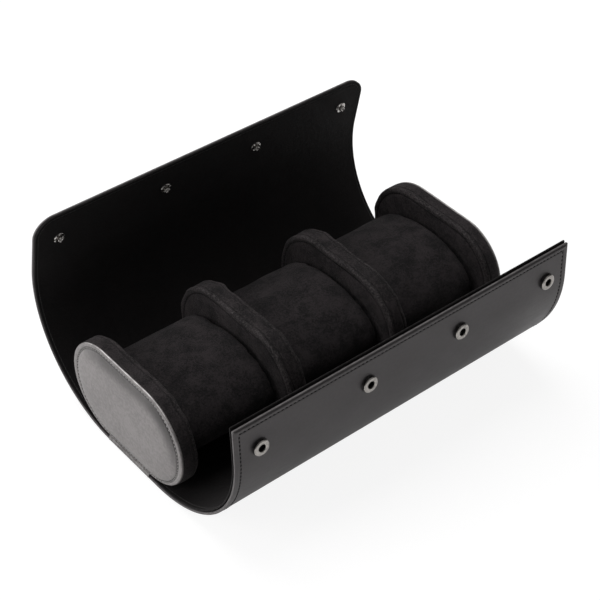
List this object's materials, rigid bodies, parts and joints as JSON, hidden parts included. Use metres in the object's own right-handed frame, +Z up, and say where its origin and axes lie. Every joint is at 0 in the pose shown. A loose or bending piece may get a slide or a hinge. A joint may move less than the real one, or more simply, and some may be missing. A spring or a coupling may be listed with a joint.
{
  "type": "watch travel case",
  "caption": "Leather travel roll for watches: flexible wall with snap fasteners, end discs, dividers and lift-out cushions inside.",
  "frame": {"origin": "centre of the flat underside that the case stands on", "axes": "+X along the roll, +Y to the rear wall, +Z up"},
  "size_m": [0.268, 0.2108, 0.133],
  "materials": {
    "wall_leather": "smooth black leather with a soft sheen",
    "disc_leather": "smooth charcoal leather, slightly worn",
    "suede_lining": "black microsuede",
    "suede_cover": "black suede with a soft nap",
    "board": "grey fibre board",
    "cushion_foam": "soft foam",
    "snap_metal": "dark nickel",
    "stud_metal": "nickel",
    "spring_steel": "bright wire",
    "thread": "black waxed thread"
  },
  "bodies": {
    "root": {"base_leather": "wall_leather", "base_board": "board", "base_lining": "suede_lining", "left_disc_core": "board", "left_disc_face": "disc_leather", "left_disc_band": "suede_cover", "left_disc_inner": "suede_cover", "right_disc_core": "board", "right_disc_face": "disc_leather", "right_disc_band": "suede_cover", "right_disc_inner": "suede_cover", "divider_1_core": "board", "divider_1_band": "suede_cover", "divider_1_sides": "suede_cover", "divider_2_core": "board", "divider_2_band": "suede_cover", "divider_2_sides": "suede_cover", "left_tab": "disc_leather", "right_tab": "disc_leather"},
    "front_panel_1": {"front_leather_1": "wall_leather", "front_board_1": "board", "front_lining_1": "suede_lining"},
    "front_panel_2": {"front_leather_2": "wall_leather", "front_board_2": "board", "front_lining_2": "suede_lining"},
    "front_panel_3": {"front_leather_3": "wall_leather", "front_board_3": "board", "front_lining_3": "suede_lining"},
    "front_panel_4": {"front_leather_4": "wall_leather", "front_board_4": "board", "front_lining_4": "suede_lining", "snap_sockets": "snap_metal", "snap_springs": "spring_steel", "snap_eyelets": "snap_metal"},
    "rear_panel_1": {"rear_leather_1": "wall_leather", "rear_board_1": "board", "rear_lining_1": "suede_lining"},
    "rear_panel_2": {"rear_leather_2": "wall_leather", "rear_board_2": "board", "rear_lining_2": "suede_lining"},
    "rear_panel_3": {"rear_leather_3": "wall_leather", "rear_board_3": "board", "rear_lining_3": "suede_lining"},
    "rear_panel_4": {"rear_leather_4": "wall_leather", "rear_board_4": "board", "rear_lining_4": "suede_lining", "snap_studs": "stud_metal", "snap_caps": "snap_metal"},
    "cushion_1": {"cushion_1_foam": "cushion_foam", "cushion_1_sleeve": "suede_cover", "cushion_1_ends": "suede_cover"},
    "cushion_2": {"cushion_2_foam": "cushion_foam", "cushion_2_sleeve": "suede_cover", "cushion_2_ends": "suede_cover"},
    "cushion_3": {"cushion_3_foam": "cushion_foam", "cushion_3_sleeve": "suede_cover", "cushion_3_ends": "suede_cover"}
  },
  "joints": [
    {"name": "front_hinge_1", "type": "hinge", "parent": "root", "child": "front_panel_1", "pos_m": [0, -0.03, 0.0036], "axis": [-1, 0, 0], "range_deg": [0, 17.3]},
    {"name": "front_hinge_2", "type": "hinge", "parent": "front_panel_1", "child": "front_panel_2", "pos_m": [0, -0.05736, 0.00874], "axis": [-1, 0, 0], "range_deg": [0, 25.5]},
    {"name": "front_hinge_3", "type": "hinge", "parent": "front_panel_2", "child": "front_panel_3", "pos_m": [0, -0.08099, 0.02346], "axis": [-1, 0, 0], "range_deg": [0, 26.1]},
    {"name": "front_hinge_4", "type": "hinge", "parent": "front_panel_3", "child": "front_panel_4", "pos_m": [0, -0.09767, 0.04575], "axis": [-1, 0, 0], "range_deg": [0, 20.1]},
    {"name": "rear_hinge_1", "type": "hinge", "parent": "root", "child": "rear_panel_1", "pos_m": [0, 0.03, 0.00409], "axis": [1, 0, 0], "range_deg": [0, 11.15]},
    {"name": "rear_hinge_2", "type": "hinge", "parent": "rear_panel_1", "child": "rear_panel_2", "pos_m": [0, 0.05657, 0.01238], "axis": [1, 0, 0], "range_deg": [0, 31.88]},
    {"name": "rear_hinge_3", "type": "hinge", "parent": "rear_panel_2", "child": "rear_panel_3", "pos_m": [0, 0.07823, 0.02986], "axis": [1, 0, 0], "range_deg": [0, 15.04]},
    {"name": "rear_hinge_4", "type": "hinge", "parent": "rear_panel_3", "child": "rear_panel_4", "pos_m": [0, 0.09543, 0.06967], "axis": [1, 0, 0], "range_deg": [0, 24.43]},
    {"name": "cushion_1_seat", "type": "slide", "parent": "root", "child": "cushion_1", "axis": [0, 0, -1], "range_m": [-0.1, 0]},
    {"name": "cushion_2_seat", "type": "slide", "parent": "root", "child": "cushion_2", "axis": [0, 0, -1], "range_m": [-0.1, 0]},
    {"name": "cushion_3_seat", "type": "slide", "parent": "root", "child": "cushion_3", "axis": [0, 0, -1], "range_m": [-0.1, 0]}
  ],
  "couplings": [
    {"joint": "front_hinge_2", "follows": "front_hinge_1", "ratio": 1.4162},
    {"joint": "front_hinge_3", "follows": "front_hinge_1", "ratio": 1.4509},
    {"joint": "front_hinge_4", "follows": "front_hinge_1", "ratio": 1.104},
    {"joint": "rear_hinge_2", "follows": "rear_hinge_1", "ratio": 2.7695},
    {"joint": "rear_hinge_3", "follows": "rear_hinge_1", "ratio": 1.2592},
    {"joint": "rear_hinge_4", "follows": "rear_hinge_1", "ratio": 2.1013}
  ]
}
